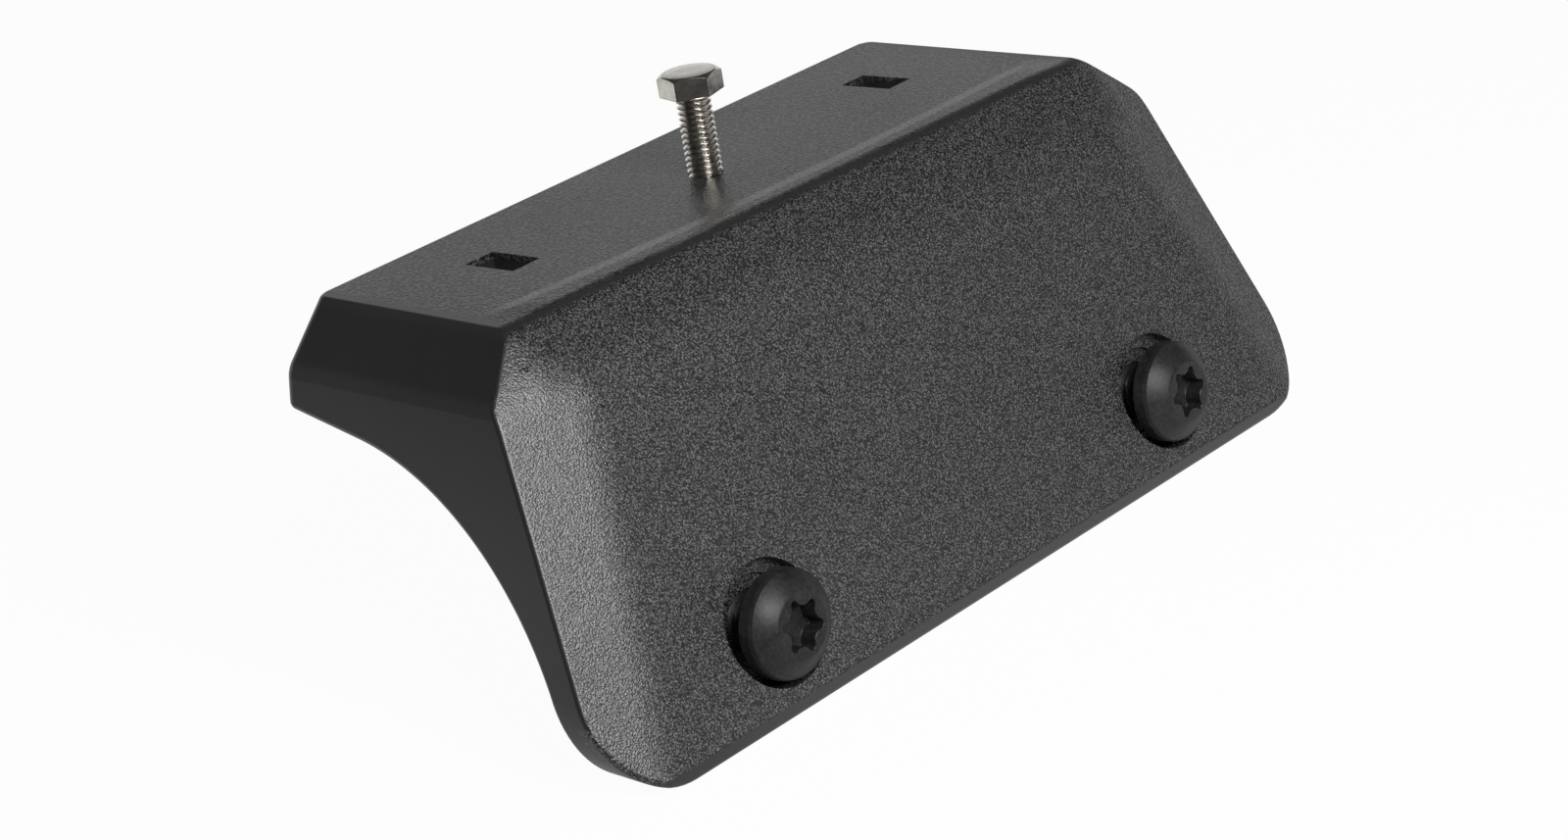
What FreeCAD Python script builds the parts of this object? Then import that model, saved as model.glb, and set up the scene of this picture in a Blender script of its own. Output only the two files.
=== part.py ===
import FreeCAD, Part
import math
import os

# Sizes in millimetres, angles in degrees. X runs along the front, Y to the back, Z up from the seat.
# The frame sits on the axis of the seat bolt, level with the flat top.

# cast body, outside
height = 66.6            # flat top down to the foot
top_half = 70.0          # half length of the flat top
end_run = 9.3            # end walls spread this far, out to their break
end_drop = 8.8           # that break below the top
end_lean = 11.5          # lean of the lower end walls
back_y = 25.0            # back edge at mid length
plan_taper = 2.6         # back edge and slot row are turned by this much in plan
ridge_y = -24.0          # where the top meets the sloping shoulder
shoulder_drop = 9.4      # height of the shoulder
shoulder_run = 9.2       # depth of the shoulder
panel_lean = 20.6        # lean of the front panel
lip_height = 2.4         # upright strip under the front panel
cheek_inset = 5.8        # panel stops this far inside the top's ends, at the shoulder crease
cheek_turn = 14.8        # side cheeks turned back in plan
cheek_lean = 23.7        # lean of the side cheeks
corner_turn = 20.0       # upper corner facets, turned back in plan
corner_lean = 41.0       # lean of the upper corner facets
corner_r = 13.5          # lower corners of the front outline
ridge_r = 5.0            # rounded ridge
soft_r = 22.0            # soft creases of the front
break_r = 5.0            # break of the end walls
edge_r = 0.9             # cast edges

# underside
foot_depth = 10.1        # foot, front to back, where the arch starts
crown_y = 4.0            # the arch runs out straight behind here
crown_drop = 17.9        # and is this far below the top there
heel_lean = 9.2          # rise of the straight run to the heel
heel_r = 2.5             # rounded rear corners and heel
wall = 5.5               # cored wall thickness
foot_bar = 7.5           # solid bar left along the foot
core_r = 2.0             # inside corners that run along the front
web = 5.0                # web behind the seat bolt, between the two cored pockets

# slots in the top
slot_width = 6.2
slot_length = 11.0
slot_pitch = 96.0
slot_row_x = 0.6
slot_row_y = 3.8

# seat bolt, M6 hexagon, standing part-way out
bolt_x = -2.0            # off the middle of the front
bolt_d = 6.0
bolt_flats = 9.6
bolt_head_h = 3.8
bolt_rim_d = 9.1         # flat on top of the head
bolt_length = 35.0
bolt_tip = 0.6           # chamfer of the end
bolt_out = 14.1          # head underside above the seat
bolt_turn = 18.0         # turn of the hexagon about the bolt axis
bolt_boss_d = 16.0
bolt_boss_depth = 20.0

# clamp screws, M10 domed head, standing off their seats
screw_half = 49.8
screw_rise = 14.1        # screw axis at the panel, above the foot
screw_tilt = 6.7         # screw axis rises to the front
screw_d = 10.0
head_d = 17.5
head_side = 2.7
head_crown = 2.8         # crown from the rim up to the flat
head_flat_d = 10.5       # flat round the socket
lobe_tip_d = 8.83
lobe_root_d = 6.31
lobe_tip_r = 0.75
lobe_depth = 3.3
screw_length = 35.0
screw_tip = 1.0          # chamfer of the end
screw_out = 5.3          # head underside off the recess floor
recess_d = 20.0
recess_depth = 4.6       # along the axis, from the panel
relief_d = 15.0
relief_depth = 0.8
screw_boss_d = 20.0
screw_boss_length = 14.0
left_turn = 42.0         # turn of each six-lobe socket
right_turn = 2.0

run_gap = 0.05           # radial clearance of the bolt and screws

V = FreeCAD.Vector
big = 400.0
past = 30.0
os.makedirs("parts", exist_ok=True)


def beyond(point, normal):
    block = Part.makeBox(2 * big, 2 * big, big, V(-big, -big, 0))
    turn = FreeCAD.Rotation(V(0, 0, 1), normal)
    block.Placement = FreeCAD.Placement(point, turn)
    return block


def mirrored(v):
    return V(-v.x, v.y, v.z)


def unit(v):
    v = V(v)
    v.normalize()
    return v


def deg_sin(angle):
    return math.sin(math.radians(angle))


def deg_cos(angle):
    return math.cos(math.radians(angle))


def deg_tan(angle):
    return math.tan(math.radians(angle))


end_half = top_half + end_run
cheek_half = top_half - cheek_inset
screw_drop = height - screw_rise

# Lines of the side profile
crease_y = ridge_y - shoulder_run
crease_z = -shoulder_drop
panel_end_z = -height + lip_height
panel_end_y = crease_y - (crease_z - panel_end_z) * deg_tan(panel_lean)
shoulder_n = unit(V(0, -shoulder_drop, shoulder_run))
panel_n = V(0, -deg_cos(panel_lean), deg_sin(panel_lean))
cheek_n = V(deg_sin(cheek_turn) * deg_cos(cheek_lean), -deg_cos(cheek_turn) * deg_cos(cheek_lean),
            deg_sin(cheek_lean))
corner_n = V(deg_sin(corner_turn) * deg_cos(corner_lean), -deg_cos(corner_turn) * deg_cos(corner_lean),
             deg_sin(corner_lean))
end_top_n = unit(V(end_drop, 0, end_half - top_half))
end_low_n = V(deg_cos(end_lean), 0, deg_sin(end_lean))
back_n = V(-deg_sin(plan_taper), deg_cos(plan_taper), 0)

ridge_p = V(0, ridge_y, 0)
crease_p = V(0, crease_y, crease_z)
cheek_p = V(cheek_half, crease_y, crease_z)
corner_p = V(top_half, ridge_y, 0)
end_top_p = V(top_half, 0, 0)
end_low_p = V(end_half, 0, -end_drop)
back_p = V(0, back_y, 0)


# One closed block inside every face of the casting, drawn in by a given wall
def faceted_block(inset, top, bottom):
    front = panel_end_y + inset
    block = Part.makeBox(big, back_y + past - front, top - bottom, V(-big / 2, front, bottom))
    planes = [(ridge_p, shoulder_n), (crease_p, panel_n), (back_p, back_n)]
    for p, n in [(cheek_p, cheek_n), (end_top_p, end_top_n), (end_low_p, end_low_n)]:
        planes.append((p, n))
        planes.append((mirrored(p), mirrored(n)))
    for p, n in planes:
        block = block.cut(beyond(p - n * inset, n))
    return block


def face_normals(shape, edge):
    found = []
    for f in shape.Faces:
        if f.Surface.TypeId != "Part::GeomPlane":
            continue
        if any(edge.isSame(other) for other in f.Edges):
            found.append(f.normalAt(0, 0))
    return found


def between(shape, pairs):
    chosen = []
    for e in shape.Edges:
        n = face_normals(shape, e)
        if len(n) != 2:
            continue
        for a, b in pairs:
            straight = n[0].dot(a) > 0.9999 and n[1].dot(b) > 0.9999
            swapped = n[0].dot(b) > 0.9999 and n[1].dot(a) > 0.9999
            if straight or swapped:
                chosen.append(e)
    return chosen


# Edges whose two faces turn by more than a given angle
def sharp_edges(shape, least):
    chosen = []
    for e in shape.Edges:
        sides = [f for f in shape.Faces if any(e.isSame(other) for other in f.Edges)]
        if len(sides) != 2:
            continue
        at = e.valueAt((e.FirstParameter + e.LastParameter) / 2)
        n = [f.normalAt(*f.Surface.parameter(at)) for f in sides]
        if math.degrees(n[0].getAngle(n[1])) > least:
            chosen.append(e)
    return chosen


up = V(0, 0, 1)
down = V(0, 0, -1)

# Outside of the casting
body = faceted_block(0.0, 0.0, -height)

# Upper corner facets, where shoulder and cheeks run out to the ends of the ridge
m = mirrored
for p, n in [(corner_p, corner_n), (m(corner_p), m(corner_n))]:
    body = body.cut(beyond(p, n))

# Rounded lower corners of the front outline
side_x = end_half + (height - end_drop) * deg_tan(end_lean)
half_angle = (90.0 - end_lean) / 2
reach = corner_r / deg_tan(half_angle)
for s in (1, -1):
    tip = V(s * side_x, 0, -height)
    on_foot = V(s * (side_x - reach), 0, -height)
    along = V(-s * deg_sin(end_lean), 0, deg_cos(end_lean))
    on_side = tip + along * reach
    centre = on_foot + V(0, 0, corner_r)
    middle = centre + unit(tip - centre) * corner_r
    arc = Part.Arc(on_foot, middle, on_side).toShape()
    outer = Part.makePolygon([on_side, on_side + V(s * past, 0, 0), tip + V(s * past, 0, -past),
                              on_foot + V(0, 0, -past), on_foot])
    spandrel = Part.Face(Part.Wire([arc] + outer.Edges))
    spandrel.translate(V(0, -big / 2, 0))
    body = body.cut(spandrel.extrude(V(0, big, 0)))

# Soft creases of the front, rounded ridge, softer break of the end walls
soft_pairs = [(shoulder_n, panel_n)]
for a, b in [(cheek_n, corner_n), (m(cheek_n), m(corner_n))]:
    soft_pairs += [(panel_n, a), (shoulder_n, a), (shoulder_n, b), (a, b)]
body = body.makeFillet(soft_r, between(body, soft_pairs))
body = body.makeFillet(ridge_r, between(body, [(up, shoulder_n)]))
break_pairs = [(end_top_n, end_low_n), (m(end_top_n), m(end_low_n))]
body = body.makeFillet(break_r, between(body, break_pairs))

# Arch of the underside, from the foot up to its crown, running out straight to the heel
toe = V(-big / 2, panel_end_y + foot_depth, -height)
crown = V(-big / 2, crown_y, -crown_drop)
chord = crown - toe
run = V(0, deg_cos(heel_lean), deg_sin(heel_lean))
inward = V(0, run.z, -run.y)
arch_r = chord.Length ** 2 / (-2 * chord.dot(inward))
arch_c = crown + inward * arch_r
arc = Part.Arc(toe, arch_c - unit(V(0, chord.z, -chord.y)) * arch_r, crown).toShape()
heel = crown + run * ((back_y + past - crown_y) / run.y)
low_z = -height - past
below = Part.makePolygon([crown, heel, V(heel.x, heel.y, low_z), V(toe.x, toe.y, low_z), toe])
arch = Part.Face(Part.Wire([arc] + below.Edges)).extrude(V(big, 0, 0))
casting = body.cut(arch)

# Rear corners and heel, then every remaining cast edge
rear = [f for f in casting.Faces if f.normalAt(0, 0).dot(back_n) > 0.9999][0]
rear_edges = [e for e in rear.Edges if e.CenterOfMass.z < -edge_r]
casting = casting.makeFillet(heel_r, rear_edges)
casting = casting.makeFillet(edge_r, sharp_edges(casting, 12))

# Two cored pockets of the underside, one each side of the web
core = faceted_block(wall, -wall, -height + foot_bar)
for s in (1, -1):
    pocket = core.cut(beyond(V(bolt_x + s * web / 2, 0, 0), V(-s, 0, 0)))
    lengthwise = [e for e in sharp_edges(pocket, 5) if abs(e.tangentAt(e.FirstParameter).x) > 0.9]
    pocket = pocket.makeFillet(core_r, lengthwise)
    casting = casting.cut(pocket)

# Bosses
screw_axis = V(0, -deg_cos(screw_tilt), deg_sin(screw_tilt))
panel_y = crease_y - (crease_z + screw_drop) * deg_tan(panel_lean)
screw_p = V(screw_half, panel_y, -screw_drop)
bolt_p = V(bolt_x, 0, 0)
boss = Part.makeCylinder(bolt_boss_d / 2, bolt_boss_depth - wall / 2, bolt_p - up * (wall / 2), down)
casting = casting.fuse(boss)
for s in (1, -1):
    p = V(s * screw_p.x, screw_p.y, screw_p.z)
    start = p - screw_axis * (recess_depth + 1.0)
    lug = Part.makeCylinder(screw_boss_d / 2, screw_boss_length - 1.0, start, screw_axis * -1)
    casting = casting.fuse(lug)

# Slots, bolt hole, screw recesses
for s in (1, -1):
    slot = Part.makeBox(slot_width, slot_length, 3 * wall,
                        V(s * slot_pitch / 2 - slot_width / 2, -slot_length / 2, -2 * wall))
    slot.rotate(V(0, 0, 0), up, plan_taper)
    slot.translate(V(slot_row_x, slot_row_y, 0))
    casting = casting.cut(slot)
casting = casting.cut(Part.makeCylinder(bolt_d / 2 + run_gap, big, bolt_p + up * past, down))
for s in (1, -1):
    p = V(s * screw_p.x, screw_p.y, screw_p.z)
    seat = p - screw_axis * recess_depth
    casting = casting.cut(Part.makeCylinder(recess_d / 2, past, seat, screw_axis))
    relief = Part.makeCylinder(relief_d / 2, relief_depth + 1, seat + screw_axis, screw_axis * -1)
    casting = casting.cut(relief)
    hole = Part.makeCylinder(screw_d / 2 + run_gap, big, seat + screw_axis, screw_axis * -1)
    casting = casting.cut(hole)
casting = casting.removeSplitter()
casting.translate(bolt_p * -1)
casting.exportStep("parts/casting.step")

# Seat bolt
hex_r = bolt_flats / 2 / deg_cos(30)
corners = [V(hex_r * deg_cos(60 * k), hex_r * deg_sin(60 * k), 0) for k in range(7)]
bolt_head = Part.Face(Part.makePolygon(corners)).extrude(up * bolt_head_h)
rim_r = bolt_rim_d / 2
cone_h = (hex_r - rim_r) * deg_tan(30)
cone = Part.makeCone(hex_r + (bolt_head_h - cone_h) / deg_tan(30), rim_r, bolt_head_h)
bolt_head = bolt_head.common(cone)
bolt = bolt_head.fuse(Part.makeCylinder(bolt_d / 2, bolt_length - bolt_tip, V(0, 0, 0), down))
bolt_end = Part.makeCone(bolt_d / 2, bolt_d / 2 - bolt_tip, bolt_tip, up * (bolt_tip - bolt_length), down)
bolt = bolt.fuse(bolt_end)
bolt = bolt.removeSplitter()
bolt.rotate(V(0, 0, 0), up, bolt_turn)
bolt.translate(up * bolt_out)
bolt.exportStep("parts/seat_bolt.step")

# Clamp screws with six-lobe sockets
hr = head_d / 2
flat_r = head_flat_d / 2
top_z = head_side + head_crown
crown_z = (head_side + top_z) / 2 - (hr ** 2 - flat_r ** 2) / (2 * head_crown)
crown_r = math.hypot(hr, head_side - crown_z)
half_r = (hr + flat_r) / 2
half_z = crown_z + math.sqrt(crown_r ** 2 - half_r ** 2)
shank_r = screw_d / 2
dome = Part.Arc(V(hr, 0, head_side), V(half_r, 0, half_z), V(flat_r, 0, top_z)).toShape()
rest = Part.makePolygon([V(flat_r, 0, top_z), V(0, 0, top_z), V(0, 0, -screw_length),
                         V(shank_r - screw_tip, 0, -screw_length), V(shank_r, 0, screw_tip - screw_length),
                         V(shank_r, 0, 0), V(hr, 0, 0), V(hr, 0, head_side)])
screw = Part.Face(Part.Wire([dome] + rest.Edges)).revolve(V(0, 0, 0), up, 360)
tip_at = lobe_tip_d / 2 - lobe_tip_r
root = lobe_root_d / 2
root_at = (tip_at ** 2 - (lobe_tip_r - root) ** 2) / (2 * tip_at * deg_cos(30) + 2 * (lobe_tip_r - root))
root_r = root_at - root
rim = []
joins = []
for k in range(6):
    a = 60 * k
    tip_c0 = V(tip_at * deg_cos(a), tip_at * deg_sin(a), 0)
    before = V(root_at * deg_cos(a - 30), root_at * deg_sin(a - 30), 0)
    after = V(root_at * deg_cos(a + 30), root_at * deg_sin(a + 30), 0)
    enter = tip_c0 + unit(before - tip_c0) * lobe_tip_r
    leave = tip_c0 + unit(after - tip_c0) * lobe_tip_r
    crest = V(lobe_tip_d / 2 * deg_cos(a), lobe_tip_d / 2 * deg_sin(a), 0)
    rim.append(Part.Arc(enter, crest, leave).toShape())
    joins.append((enter, leave))
for k in range(6):
    a = 60 * k + 30
    valley = V(root * deg_cos(a), root * deg_sin(a), 0)
    rim.append(Part.Arc(joins[k][1], valley, joins[(k + 1) % 6][0]).toShape())
socket = Part.Face(Part.Wire(Part.__sortEdges__(rim)))
socket.translate(up * (top_z - lobe_depth))
screw = screw.cut(socket.extrude(up * (lobe_depth + 1)))
lay = FreeCAD.Rotation(up, screw_axis)
for s, name, turn in ((-1, "screw_left", left_turn), (1, "screw_right", right_turn)):
    p = V(s * screw_p.x, screw_p.y, screw_p.z) - bolt_p
    one = screw.copy()
    one.rotate(V(0, 0, 0), up, turn)
    at = p + screw_axis * (screw_out - recess_depth)
    one.Placement = FreeCAD.Placement(at, lay).multiply(one.Placement)
    one.exportStep("parts/" + name + ".step")
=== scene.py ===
import math
import bpy
import numpy as np
from mathutils import Matrix, Vector


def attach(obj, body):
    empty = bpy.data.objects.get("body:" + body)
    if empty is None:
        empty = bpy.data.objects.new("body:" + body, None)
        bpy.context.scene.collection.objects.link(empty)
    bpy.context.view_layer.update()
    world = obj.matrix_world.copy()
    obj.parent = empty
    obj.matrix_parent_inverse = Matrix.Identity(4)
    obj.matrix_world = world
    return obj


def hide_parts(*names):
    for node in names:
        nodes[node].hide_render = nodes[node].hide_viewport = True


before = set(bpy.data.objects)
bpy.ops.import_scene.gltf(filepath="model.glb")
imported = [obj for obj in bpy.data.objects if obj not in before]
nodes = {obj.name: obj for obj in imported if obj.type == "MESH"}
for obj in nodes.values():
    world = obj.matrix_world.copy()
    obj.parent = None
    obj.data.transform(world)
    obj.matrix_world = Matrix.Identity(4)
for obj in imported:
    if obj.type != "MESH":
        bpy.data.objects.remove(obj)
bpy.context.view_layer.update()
print("frame loaded:", sorted(nodes))


class Wire:                                     # one socket of a node tree that can stand in a sum
    def __init__(self, tree, out=None):
        self.tree, self.out = tree, out

    def node(self, kind, settings=None, inputs=None, out=0):    # any node: settings first, then sockets
        made = self.tree.nodes.new(kind)
        for key, value in (settings or {}).items():
            setattr(made, key, value)
        for key, value in (inputs or {}).items():
            if isinstance(value, Wire):
                self.tree.links.new(value.out, made.inputs[key])
            else:
                made.inputs[key].default_value = value
        return Wire(self.tree, made.outputs[out] if made.outputs else None)

    def maths(self, operation, *values):
        return self.node("ShaderNodeMath", {"operation": operation}, dict(enumerate(values)))

    def vector(self, operation, *values, out=0):
        return self.node("ShaderNodeVectorMath", {"operation": operation}, dict(enumerate(values)), out)

    def __add__(self, other):
        return self.maths("ADD", self, other)

    def __sub__(self, other):
        return self.maths("SUBTRACT", self, other)

    def __rsub__(self, other):
        return self.maths("SUBTRACT", other, self)

    def __mul__(self, other):
        return self.maths("MULTIPLY", self, other)

    __radd__ = __add__
    __rmul__ = __mul__

    def most(self, other):
        return self.maths("MAXIMUM", self, other)

    def ease(self, low, high):                  # 0 below low, 1 above high, smooth between
        return self.node("ShaderNodeMapRange", {"interpolation_type": "SMOOTHSTEP"},
                         {"Value": self, "From Min": low, "From Max": high})

    def noise(self, scale, detail, rough):
        return self.node("ShaderNodeTexNoise", None,
                         {"Vector": self, "Scale": scale, "Detail": detail, "Roughness": rough})

    def cells(self, scale):                     # distance to the nearest of many scattered points
        return self.node("ShaderNodeTexVoronoi", None, {"Vector": self, "Scale": scale})

    def dot(self, way):
        return self.vector("DOT_PRODUCT", self, way, out=1)

    def along(self, normal, through):           # millimetres in front of a plane
        return self.dot(normal) * 1000.0 - sum(a * b for a, b in zip(normal, through))

    def blend(self, first, second):             # from the first colour to the second with this value
        return self.node("ShaderNodeMix", {"data_type": "RGBA"}, {0: self, 6: first, 7: second}, out=2)

    def tint(self, dark, light):
        return self.blend((*dark, 1), (*light, 1))

    def ray(self, kind):                        # 1 for light paths of this kind
        return self.node("ShaderNodeLightPath", out=kind)


def newMaterial(name):
    made = bpy.data.materials.new(name)
    made.use_nodes = True
    made.node_tree.nodes.clear()
    wire = Wire(made.node_tree)
    place = wire.node("ShaderNodeTexCoord", out="Object")
    return made, wire, place


def finishMaterial(made, wire, sockets, height, strength, distance):
    bump = wire.node("ShaderNodeBump", None,
                     {"Height": height, "Strength": strength, "Distance": distance})
    shader = wire.node("ShaderNodeBsdfPrincipled", None, {**sockets, "Normal": bump})
    wire.node("ShaderNodeOutputMaterial", None, {"Surface": shader})
    return made


def dress(piece, made):
    piece.data.materials.clear()
    piece.data.materials.append(made)


# black coat of the casting: coarse grain on the front facets with lighter specks that are partly painted
# glints, finer on the top, smooth ends and lip
# in millimetres: a front facet is its turn, its lean and a point, an end wall its slope, x and z
# each noise is its scale, detail and roughness, and each bump its strength and distance
coatSet = {
    "front": ((0.0, 20.6, (2.0, -33.2, -9.4)), (0.0, 44.39, (2.0, -24.0, 0.0)),
              (14.8, 23.7, (66.2, -33.2, -9.4)), (-14.8, 23.7, (-62.2, -33.2, -9.4)),
              (20.0, 41.0, (72.0, -24.0, 0.0)), (-20.0, 41.0, (-68.0, -24.0, 0.0))),
    "ends": ((0.6873, 72.0, 0.0), (0.9799, 81.3, -8.8), (-0.6873, -68.0, 0.0), (-0.9799, -77.3, -8.8)),
    "frontSkin": (-3.2, -2.6), "endEdge": (0.3, 0.6), "ridge": (23.6, 24.8), "lip": (-64.4, -63.7),
    "topSkin": (-1.4, -0.6), "topEnds": (0.4, 2.6), "topFront": (21.0, 23.4), "middle": 2.0,
    "screwTilt": 6.7, "screwX": (-47.8, 51.8), "screwY": -49.4, "screwZ": -52.5,
    "recess": 10.1, "recessEdge": 0.2, "recessFloor": (-9.0, -8.0),
    "rimBack": 16.8, "rimBow": 0.0006, "rimWidth": 3.0, "rimHeight": 0.46,
    "rimFront": (21.0, 24.6), "rimEnds": (1.0, 8.0),
    "grainTurn": (0.7, 0.4, 1.1), "coarse": (3200.0, 1.5, 0.6), "coarseShare": 0.7,
    "cells": 2880.0, "cellTop": 0.9, "cellShare": 0.35,
    "fine": (1800.0, 1.0, 0.5), "broad": (38.0, 3.0, 0.5),
    "coarseHeight": 0.14, "fineHeight": 0.12, "smoothHeight": 0.01, "bump": (1.0, 0.001),
    "coarseShade": (0.42, 0.7), "fineShade": (0.3, 0.7), "smoothFine": 0.02, "broadShade": 0.06,
    "innerShade": 0.06, "topShade": 0.04, "smoothShade": 0.09,
    "dark": (0.002, 0.002, 0.0021), "light": (0.13, 0.13, 0.131),
    "frontRough": 0.4, "topRough": 0.37, "broadRough": 0.08, "gloss": 0.9,
}


def coatMaterial(s):
    made, wire, place = newMaterial("blackCoat")
    front = ends = None
    for turn, lean, through in s["front"]:      # how far a point lies in front of the front facets
        t, k = math.radians(turn), math.radians(lean)
        gap = place.along((math.sin(t) * math.cos(k), -math.cos(t) * math.cos(k), math.sin(k)), through)
        front = front.most(gap) if front else gap
    for slope, x, z in s["ends"]:               # and outside the end walls
        gap = place.along((slope, 0, math.sqrt(1 - slope ** 2)), (x, 0, z))
        ends = ends.most(gap) if ends else gap
    inside = 0.0 - ends
    ahead = place.along((0, -1, 0), (0, 0, 0))
    height = place.along((0, 0, 1), (0, 0, 0))
    face = front.ease(*s["frontSkin"]) * inside.ease(*s["endEdge"]) * ahead.ease(*s["ridge"])
    face = face * height.ease(*s["lip"])
    tilt = math.radians(s["screwTilt"])
    axis = (0, -math.cos(tilt), math.sin(tilt))
    for x in s["screwX"]:                       # recess floors have the grain of the panel
        centre = (x * 0.001, s["screwY"] * 0.001, s["screwZ"] * 0.001)
        arm = place.vector("SUBTRACT", place, centre)
        away = place.vector("LENGTH", place.vector("CROSS_PRODUCT", arm, axis), out=1) * 1000.0
        floor = (s["recess"] - away).ease(0.0, s["recessEdge"]) * front.ease(*s["recessFloor"])
        face = face.most(floor)
    top = height.ease(*s["topSkin"]) * (1.0 - face)
    inner = inside.ease(*s["topEnds"]) * (1.0 - ahead.ease(*s["topFront"]))

    turned = place.node("ShaderNodeMapping", None, {"Vector": place, "Rotation": s["grainTurn"]})
    pebbles = s["cellTop"] - turned.cells(s["cells"])
    coarse = turned.noise(*s["coarse"]) * s["coarseShare"] + pebbles * s["cellShare"]
    fine = turned.noise(*s["fine"])
    broad = place.noise(*s["broad"]) - 0.5

    # shallow rim along the front of the top: rises on a slightly bowed line, fades into the ridge
    sideways = place.along((1, 0, 0), (s["middle"], 0, 0))
    rise = ahead - s["rimBack"] + sideways * sideways * s["rimBow"]
    rim = rise.ease(0.0, s["rimWidth"]) * top * s["rimHeight"]
    rim = rim * (1.0 - ahead.ease(*s["rimFront"])) * inside.ease(*s["rimEnds"])

    fineHeight = top * inner * s["fineHeight"] + s["smoothHeight"]
    bumps = (coarse - 0.5) * face * s["coarseHeight"] + (fine - 0.5) * fineHeight + rim
    # lighter specks on the front facets: partly the coat's own grain tone, partly painted glints
    # standing in for highlights on the grain's bumps
    grainAndGlint = coarse.ease(*s["coarseShade"]) * face
    calm = (fine.ease(*s["fineShade"]) - 0.5) * (top * inner + s["smoothFine"]) + broad * s["broadShade"]
    calm = calm + top * (inner * s["innerShade"] + s["topShade"]) + s["smoothShade"]
    shade = grainAndGlint + calm * (1.0 - face)
    rough = (s["frontRough"] - s["topRough"]) * face + s["topRough"] + broad * s["broadRough"]
    sockets = {"Base Color": shade.tint(s["dark"], s["light"]), "Roughness": rough,
               "Specular IOR Level": s["gloss"]}
    return finishMaterial(made, wire, sockets, bumps, *s["bump"])


dress(nodes["casting"], coatMaterial(coatSet))
print("casting coated")

sharpFrom = math.radians(20)                    # edges sharper than this aren't shaded smooth


# rings of points, one row for each step of the profile, closed at both ends by a pole
def ringSurface(name, radius, level, angle, place):
    rows, steps = radius.shape
    x, y = radius * np.cos(angle), radius * np.sin(angle)
    points = np.stack([x, y, level], axis=-1).reshape(-1, 3)
    poles = np.array([[0, 0, level[0].mean()], [0, 0, level[-1].mean()]])
    points = np.concatenate([points, poles]) @ place[:3, :3].T + place[:3, 3]
    r, c = np.meshgrid(np.arange(rows - 1), np.arange(steps), indexing="ij")
    here, beside = r * steps + c, r * steps + (c + 1) % steps
    quads = np.stack([here, beside, beside + steps, here + steps], axis=-1).reshape(-1, 4)
    c = np.arange(steps)
    low, high = rows * steps, rows * steps + 1
    base = (rows - 1) * steps
    foot = np.stack([(c + 1) % steps, c, np.full(steps, low)], axis=-1)
    cap = np.stack([base + c, base + (c + 1) % steps, np.full(steps, high)], axis=-1)
    mesh = bpy.data.meshes.new(name)
    mesh.from_pydata((points * 0.001).tolist(), [], quads.tolist() + foot.tolist() + cap.tolist())
    mesh.validate()
    mesh.shade_smooth()
    mesh.set_sharp_from_angle(angle=sharpFrom)
    piece = bpy.data.objects.new(name, mesh)
    bpy.context.scene.collection.objects.link(piece)
    return piece


# depth of a screw thread: a vee wound round the shank, one turn for each pitch of height
def threadDepth(level, angle, pitch, depth):
    turn = (level / pitch - angle / (2 * np.pi)) % 1.0
    vee = np.abs(2 * turn - 1)
    return depth * np.clip(1.3 * vee - 0.1, 0, 1)       # narrow flats at the crest and the root


boltSet = {
    "out": 14.1, "length": 35.0, "shank": 3.0, "pitch": 1.0, "depth": 0.6, "tip": 0.6, "rowsPerTurn": 10,
    "flats": 9.6, "headHeight": 3.8, "turn": 18.0, "cornerArc": 1.2, "cornerCut": 0.06, "edge": 0.12,
    "chamfer": 30.0, "coneEdge": (0.072, 0.06, 0.012), "rim": 4.55, "rimDrop": 0.02, "rimRound": 0.15,
    "topRing": 2.0,
}


def buildBolt(s):
    # hexagon radius over the angle, with its six corners a little rounded
    arc = s["cornerArc"]
    per = np.concatenate([np.linspace(0, arc, 3, endpoint=False), np.linspace(arc, 60 - arc, 18),
                          np.linspace(60 - arc, 60, 3, endpoint=False)[1:]])
    angle = np.radians((per[None, :] + 60.0 * np.arange(6)[:, None]).ravel() + s["turn"])
    fromFlat = np.radians(((np.degrees(angle) - s["turn"]) % 60.0) - 30.0)
    hexagon = s["flats"] / 2 / np.cos(fromFlat)
    hexagon = np.minimum(hexagon, s["flats"] / 2 / math.cos(math.radians(30)) - s["cornerCut"])
    bottom = s["out"] - s["length"]
    level = np.linspace(bottom, s["out"], int(s["length"] / s["pitch"] * s["rowsPerTurn"]) + 1)[:, None]
    level = np.repeat(level, len(angle), axis=1)
    radius = s["shank"] - threadDepth(level, angle, s["pitch"], s["depth"])
    radius = np.minimum(radius, s["shank"] - s["tip"] + (level - bottom))
    top = s["out"] + s["headHeight"]
    # a cone cuts the corners
    shoulder = top - (hexagon - s["rim"]) * math.tan(math.radians(s["chamfer"]))
    edge, same = s["edge"], np.ones_like(hexagon)
    below, across, above = s["coneEdge"]
    head = [(s["rim"] * same, s["out"] * same), (hexagon - edge, s["out"] * same),
            (hexagon, (s["out"] + edge) * same), (hexagon, shoulder - below),
            (hexagon - across, shoulder + above), (s["rim"] * same, (top - s["rimDrop"]) * same),
            ((s["rim"] - s["rimRound"]) * same, top * same), (s["topRing"] * same, top * same)]
    radius = np.concatenate([radius] + [r[None, :] for r, z in head])
    level = np.concatenate([level] + [z[None, :] for r, z in head])
    return ringSurface("seatBolt", radius, level, angle[None, :], np.eye(4))


screwSet = {
    "shank": 5.0, "pitch": 1.5, "threadDepth": 0.9, "length": 35.0, "tip": 1.0,
    "rowsPerTurn": 9, "steps": 168,
    "head": 8.75, "side": 2.7, "crown": 2.8, "flat": 5.25, "underEdge": 0.25, "rimRound": 0.35,
    "crownRing": (8.5075, 5.37), "crownRows": 12, "flatRing": (5.15, 4.85),
    "tipAt": 3.665, "tipRound": 0.75, "root": 3.155, "depth": 3.3, "lobeEdge": 0.12,
    "floorEdge": 0.1, "floorShare": 0.5, "floorDip": 0.25, "proud": 0.7, "turns": (42.0, 2.0),
}


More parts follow.
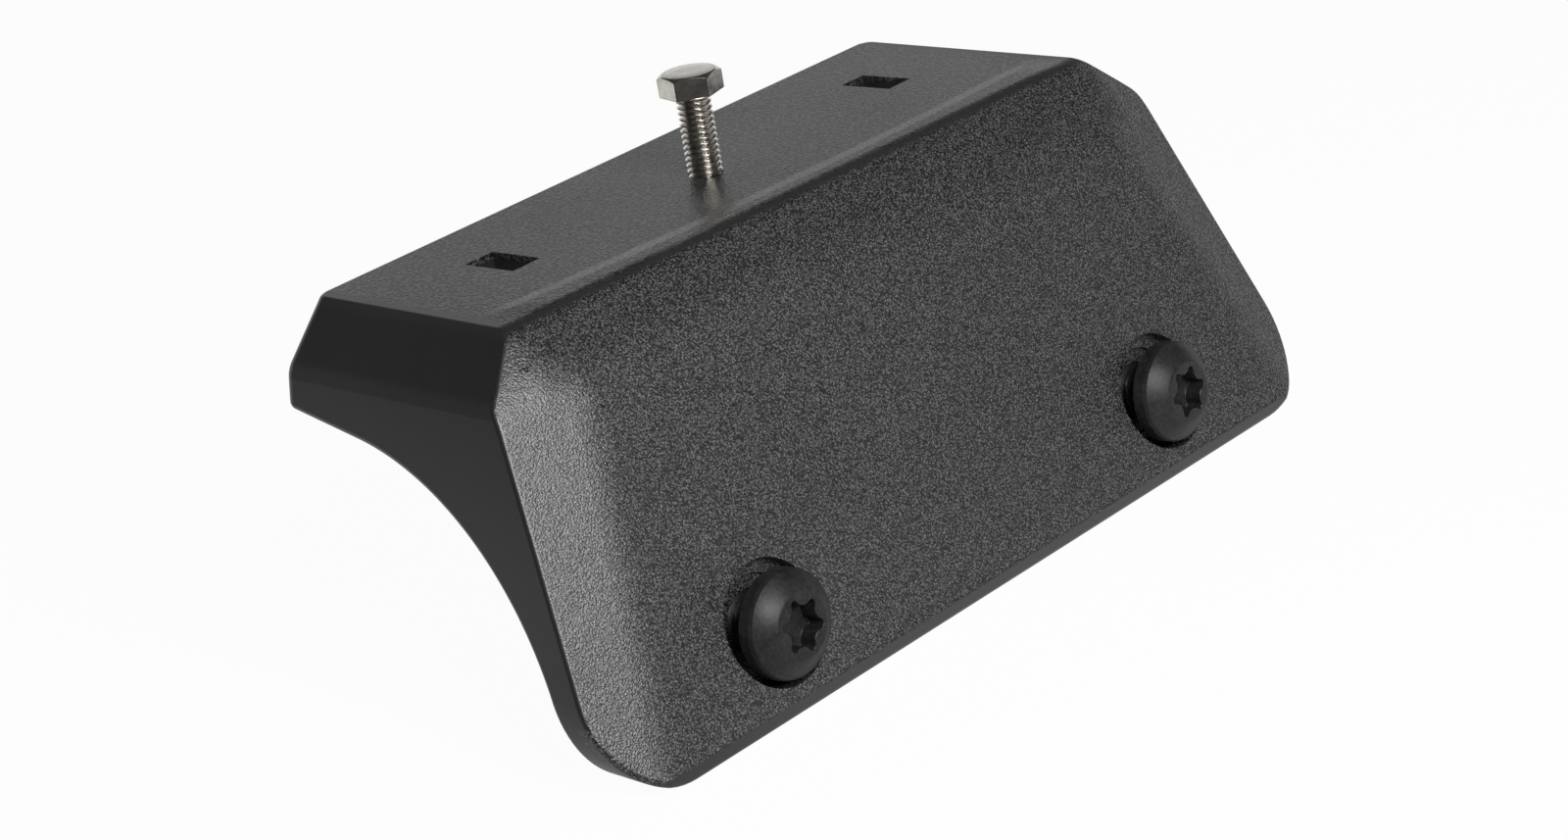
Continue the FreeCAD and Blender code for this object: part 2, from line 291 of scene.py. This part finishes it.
def lobeRadius(angle, s):                       # six round lobes joined by six round valleys
    tipAt, tipRound, root = s["tipAt"], s["tipRound"], s["root"]
    # a valley's circle touches the lobe's circle and the root circle
    less = tipRound - root
    valleyAt = (tipAt ** 2 - less ** 2) / (2 * tipAt * math.cos(math.radians(30)) + 2 * less)
    valleyRound = valleyAt - root
    off = (angle + np.pi / 6) % (np.pi / 3) - np.pi / 6
    ebb = np.pi / 6 - np.abs(off)
    tip = tipAt * np.cos(off) + np.sqrt(np.maximum(tipRound ** 2 - (tipAt * np.sin(off)) ** 2, 0))
    bite = np.sqrt(np.maximum(valleyRound ** 2 - (valleyAt * np.sin(ebb)) ** 2, 0))
    valley = valleyAt * np.cos(ebb) - bite
    towards = valleyAt * np.exp(1j * np.pi / 6) - tipAt
    join = np.angle(tipAt + towards / abs(towards) * tipRound)
    return np.where(np.abs(off) < join, tip, valley)


def buildScrew(name, x, turn, s):
    angle = np.linspace(0, 2 * np.pi, s["steps"], endpoint=False)
    same = np.ones_like(angle)
    bottom = -s["length"]
    level = np.linspace(bottom, 0, int(s["length"] / s["pitch"] * s["rowsPerTurn"]) + 1)[:, None] * same
    radius = s["shank"] - threadDepth(level, angle, s["pitch"], s["threadDepth"])
    radius = np.minimum(radius, s["shank"] - s["tip"] + (level - bottom))
    top = s["side"] + s["crown"]
    # the crown is a ball's cap through the upper edge of the side and the rim of the flat
    crownZ = (s["side"] + top) / 2 - (s["head"] ** 2 - s["flat"] ** 2) / (2 * s["crown"])
    crownR = math.hypot(s["head"], s["side"] - crownZ)
    rows = [(s["head"] - s["underEdge"], 0.0), (s["head"], s["underEdge"]),
            (s["head"], s["side"] - s["rimRound"])]
    for r in np.linspace(*s["crownRing"], s["crownRows"]):
        rows.append((r, crownZ + math.sqrt(crownR ** 2 - r ** 2)))
    rows += [(r, top) for r in s["flatRing"]]
    lobe = lobeRadius(angle, s)
    floor = top - s["depth"]
    rows += [(lobe + s["lobeEdge"], top), (lobe, top - s["lobeEdge"]), (lobe, floor + s["floorEdge"]),
             (lobe - s["floorEdge"], floor), (lobe * s["floorShare"], floor - s["floorDip"])]
    radius = np.concatenate([radius] + [(r * same)[None, :] for r, z in rows])
    level = np.concatenate([level] + [(z * same)[None, :] for r, z in rows])
    lean = math.radians(90 - coatSet["screwTilt"])
    lay = np.array(Matrix.Rotation(lean, 4, "X") @ Matrix.Rotation(math.radians(turn), 4, "Z"))
    axis = lay[:3, 2]
    lay[:3, 3] = np.array([x, coatSet["screwY"], coatSet["screwZ"]]) + axis * s["proud"]
    return ringSurface(name, radius, level, angle[None, :], lay)


steelSet = {
    "dark": (0.42, 0.4, 0.365), "light": (0.78, 0.75, 0.69), "shade": (0.25, 0.7), "rough": 0.2,
    "stretch": (1.0, 1.0, 9.0), "streak": (900.0, 3.0, 0.6), "streakShare": 0.55,
    "spots": (420.0, 3.0, 0.6), "spotShare": 0.45, "spotRough": 0.22, "bump": (0.12, 0.00006),
}


def steelMaterial(s):                           # bright turned steel with streaks and a few dull spots
    made, wire, place = newMaterial("brightSteel")
    stretch = place.node("ShaderNodeMapping", None, {"Vector": place, "Scale": s["stretch"]})
    streak = stretch.noise(*s["streak"])
    spots = place.noise(*s["spots"])
    shade = streak * s["streakShare"] + spots * s["spotShare"]
    sockets = {"Base Color": shade.ease(*s["shade"]).tint(s["dark"], s["light"]), "Metallic": 1.0,
               "Roughness": s["rough"] + (spots - 0.5) * s["spotRough"]}
    return finishMaterial(made, wire, sockets, streak, *s["bump"])


blackSteelSet = {
    "dark": (0.006, 0.006, 0.0065), "light": (0.026, 0.026, 0.026), "shade": (0.3, 0.75), "rough": 0.46,
    "mottle": (1500.0, 3.0, 0.6), "mottleShare": 0.6, "broad": (260.0, 2.0, 0.5), "broadShare": 0.4,
    "broadRough": 0.16, "gloss": 0.35, "bump": (0.22, 0.00012),
}


def blackSteelMaterial(s):                      # blackened steel with a soft mottle
    made, wire, place = newMaterial("blackSteel")
    mottle = place.noise(*s["mottle"])
    broad = place.noise(*s["broad"])
    shade = mottle * s["mottleShare"] + broad * s["broadShare"]
    sockets = {"Base Color": shade.ease(*s["shade"]).tint(s["dark"], s["light"]), "Metallic": 0.0,
               "Roughness": s["rough"] + (broad - 0.5) * s["broadRough"],
               "Specular IOR Level": s["gloss"]}
    return finishMaterial(made, wire, sockets, mottle, *s["bump"])


seatBolt = buildBolt(boltSet)
dress(seatBolt, steelMaterial(steelSet))
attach(seatBolt, "bolt")
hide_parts("seat_bolt")
print("seat bolt threaded:", len(seatBolt.data.polygons), "faces")

blackSteel = blackSteelMaterial(blackSteelSet)
screwNames = (("screwLeft", "screw_left", "left_screw"), ("screwRight", "screw_right", "right_screw"))
for (name, node, body), x, turn in zip(screwNames, coatSet["screwX"], screwSet["turns"]):
    screw = buildScrew(name, x, turn, screwSet)
    dress(screw, blackSteel)
    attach(screw, body)
    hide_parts(node)
print("clamp screws built:", len(screw.data.polygons), "faces each")


# near and left are in millimetres from the bolt: past them the floor's glow seen in reflections is
# painted dim, a painted shade
floorSet = {
    "level": -0.0667, "half": 4.0, "cells": 8, "pale": (0.8, 0.8, 0.8), "speckle": (60.0, 2.0, 0.5),
    "speckleDark": 0.98, "shown": 0.965, "mirrored": 0.75, "dimmed": 0.92,
    "towards": (-690.0, -720.0, 0.0), "near": (40.0, 160.0), "left": (170.0, 420.0),
}


def buildFloor(s):                              # pale floor, nearly white, with a faint shadow
    half, n = s["half"], s["cells"]
    grid = np.linspace(-half, half, n + 1)
    x, y = np.meshgrid(grid, grid, indexing="ij")
    points = np.stack([x, y, np.full_like(x, s["level"])], axis=-1).reshape(-1, 3)
    r, c = np.meshgrid(np.arange(n), np.arange(n), indexing="ij")
    at = (r * (n + 1) + c).ravel()
    mesh = bpy.data.meshes.new("floor")
    quads = np.stack([at, at + n + 1, at + n + 2, at + 1], axis=-1)
    mesh.from_pydata(points.tolist(), [], quads.tolist())
    piece = bpy.data.objects.new("floor", mesh)
    bpy.context.scene.collection.objects.link(piece)
    made, wire, place = newMaterial("paleFloor")
    camera = wire.ray("Is Camera Ray")
    other = wire.ray("Is Glossy Ray").most(wire.ray("Is Transmission Ray"))
    near = place.dot(s["towards"]).ease(*s["near"])
    left = place.along((-1, 0, 0), (0, 0, 0)).ease(*s["left"])
    # painted shade: the floor's glow in reflections is darker toward the camera and the left
    far = 1.0 - near.most(left) * s["dimmed"]
    seen = (camera * s["shown"]).most(other)
    bright = camera.most(far * s["mirrored"]).tint((0, 0, 0), (1, 1, 1))
    speckle = place.noise(*s["speckle"]).tint([v * s["speckleDark"] for v in s["pale"]], s["pale"])
    matte = wire.node("ShaderNodeBsdfDiffuse", None, {"Color": speckle})
    glow = wire.node("ShaderNodeEmission", None, {"Color": bright, "Strength": 1.0})
    both = wire.node("ShaderNodeMixShader", None, {0: seen, 1: matte, 2: glow})
    wire.node("ShaderNodeOutputMaterial", None, {"Surface": both})
    dress(piece, made)


buildFloor(floorSet)

# what gloss sees: bright low down on the far side, dim in front and overhead
worldSet = {"ambient": (0.04, 0.04, 0.04), "behind": 0.95, "before": 0.09, "zenith": 0.055,
            "bright": (0.6, 0.8, 0.0), "sweep": (0.2, 0.7), "rise": (0.12, 0.52)}


def buildWorld(s):                              # plain soft surround, white where the camera looks
    world = bpy.data.worlds.new("surround")
    world.use_nodes = True
    world.node_tree.nodes.clear()
    bpy.context.scene.world = world
    wire = Wire(world.node_tree)
    way = wire.node("ShaderNodeTexCoord", out="Generated")
    up = way.node("ShaderNodeSeparateXYZ", None, {0: way}, out="Z")
    level = way.dot(s["bright"]).ease(*s["sweep"]) * (s["behind"] - s["before"]) + s["before"]
    shine = level - up.ease(*s["rise"]) * (level - s["zenith"])
    other = wire.ray("Is Glossy Ray").most(wire.ray("Is Transmission Ray"))
    around = other.blend((*s["ambient"], 1), shine)
    shown = wire.ray("Is Camera Ray").blend(around, (1, 1, 1, 1))
    sky = wire.node("ShaderNodeBackground", None, {"Color": shown, "Strength": 1.0})
    wire.node("ShaderNodeOutputWorld", None, {"Surface": sky})


buildWorld(worldSet)

keySet = {"from": (-0.16, -0.54, 0.32), "at": (0.0, -0.02, -0.03), "size": (0.32, 0.28), "power": 4.6}


def buildLamp(name, s):
    data = bpy.data.lights.new(name, "AREA")
    data.shape = "RECTANGLE"
    data.size, data.size_y = s["size"]
    data.energy = s["power"]
    lamp = bpy.data.objects.new(name, data)
    bpy.context.scene.collection.objects.link(lamp)
    aim = (Vector(s["at"]) - Vector(s["from"])).normalized()
    lamp.matrix_world = Matrix.Translation(s["from"]) @ aim.to_track_quat("-Z", "Y").to_matrix().to_4x4()
    lamp.visible_camera = False


buildLamp("key", keySet)
print("floor, surround and lamp set")

# place in metres, directions of the picture's right, its down and the way ahead, focal length in pixels
cameraSet = {
    "place": (-0.347285, -0.372388, 0.148671), "right": (0.671984, -0.724061, -0.155479),
    "down": (-0.363795, -0.13988, -0.920916), "ahead": (0.645051, 0.675403, -0.357407),
    "focal": 3209.062, "width": 1600.0, "sensor": 36.0, "clip": 0.01,
}


def buildCamera(s):
    data = bpy.data.cameras.new("camera")
    data.sensor_fit = "HORIZONTAL"
    data.sensor_width = s["sensor"]
    data.lens = s["focal"] / s["width"] * s["sensor"]
    data.clip_start = s["clip"]
    camera = bpy.data.objects.new("camera", data)
    bpy.context.scene.collection.objects.link(camera)
    turn = np.eye(4)
    turn[:3, 0], turn[:3, 1], turn[:3, 2] = s["right"], -np.array(s["down"]), -np.array(s["ahead"])
    turn[:3, 3] = s["place"]
    camera.matrix_world = Matrix(turn.tolist())
    bpy.context.scene.camera = camera


buildCamera(cameraSet)
bpy.context.scene.view_settings.view_transform = "Standard"
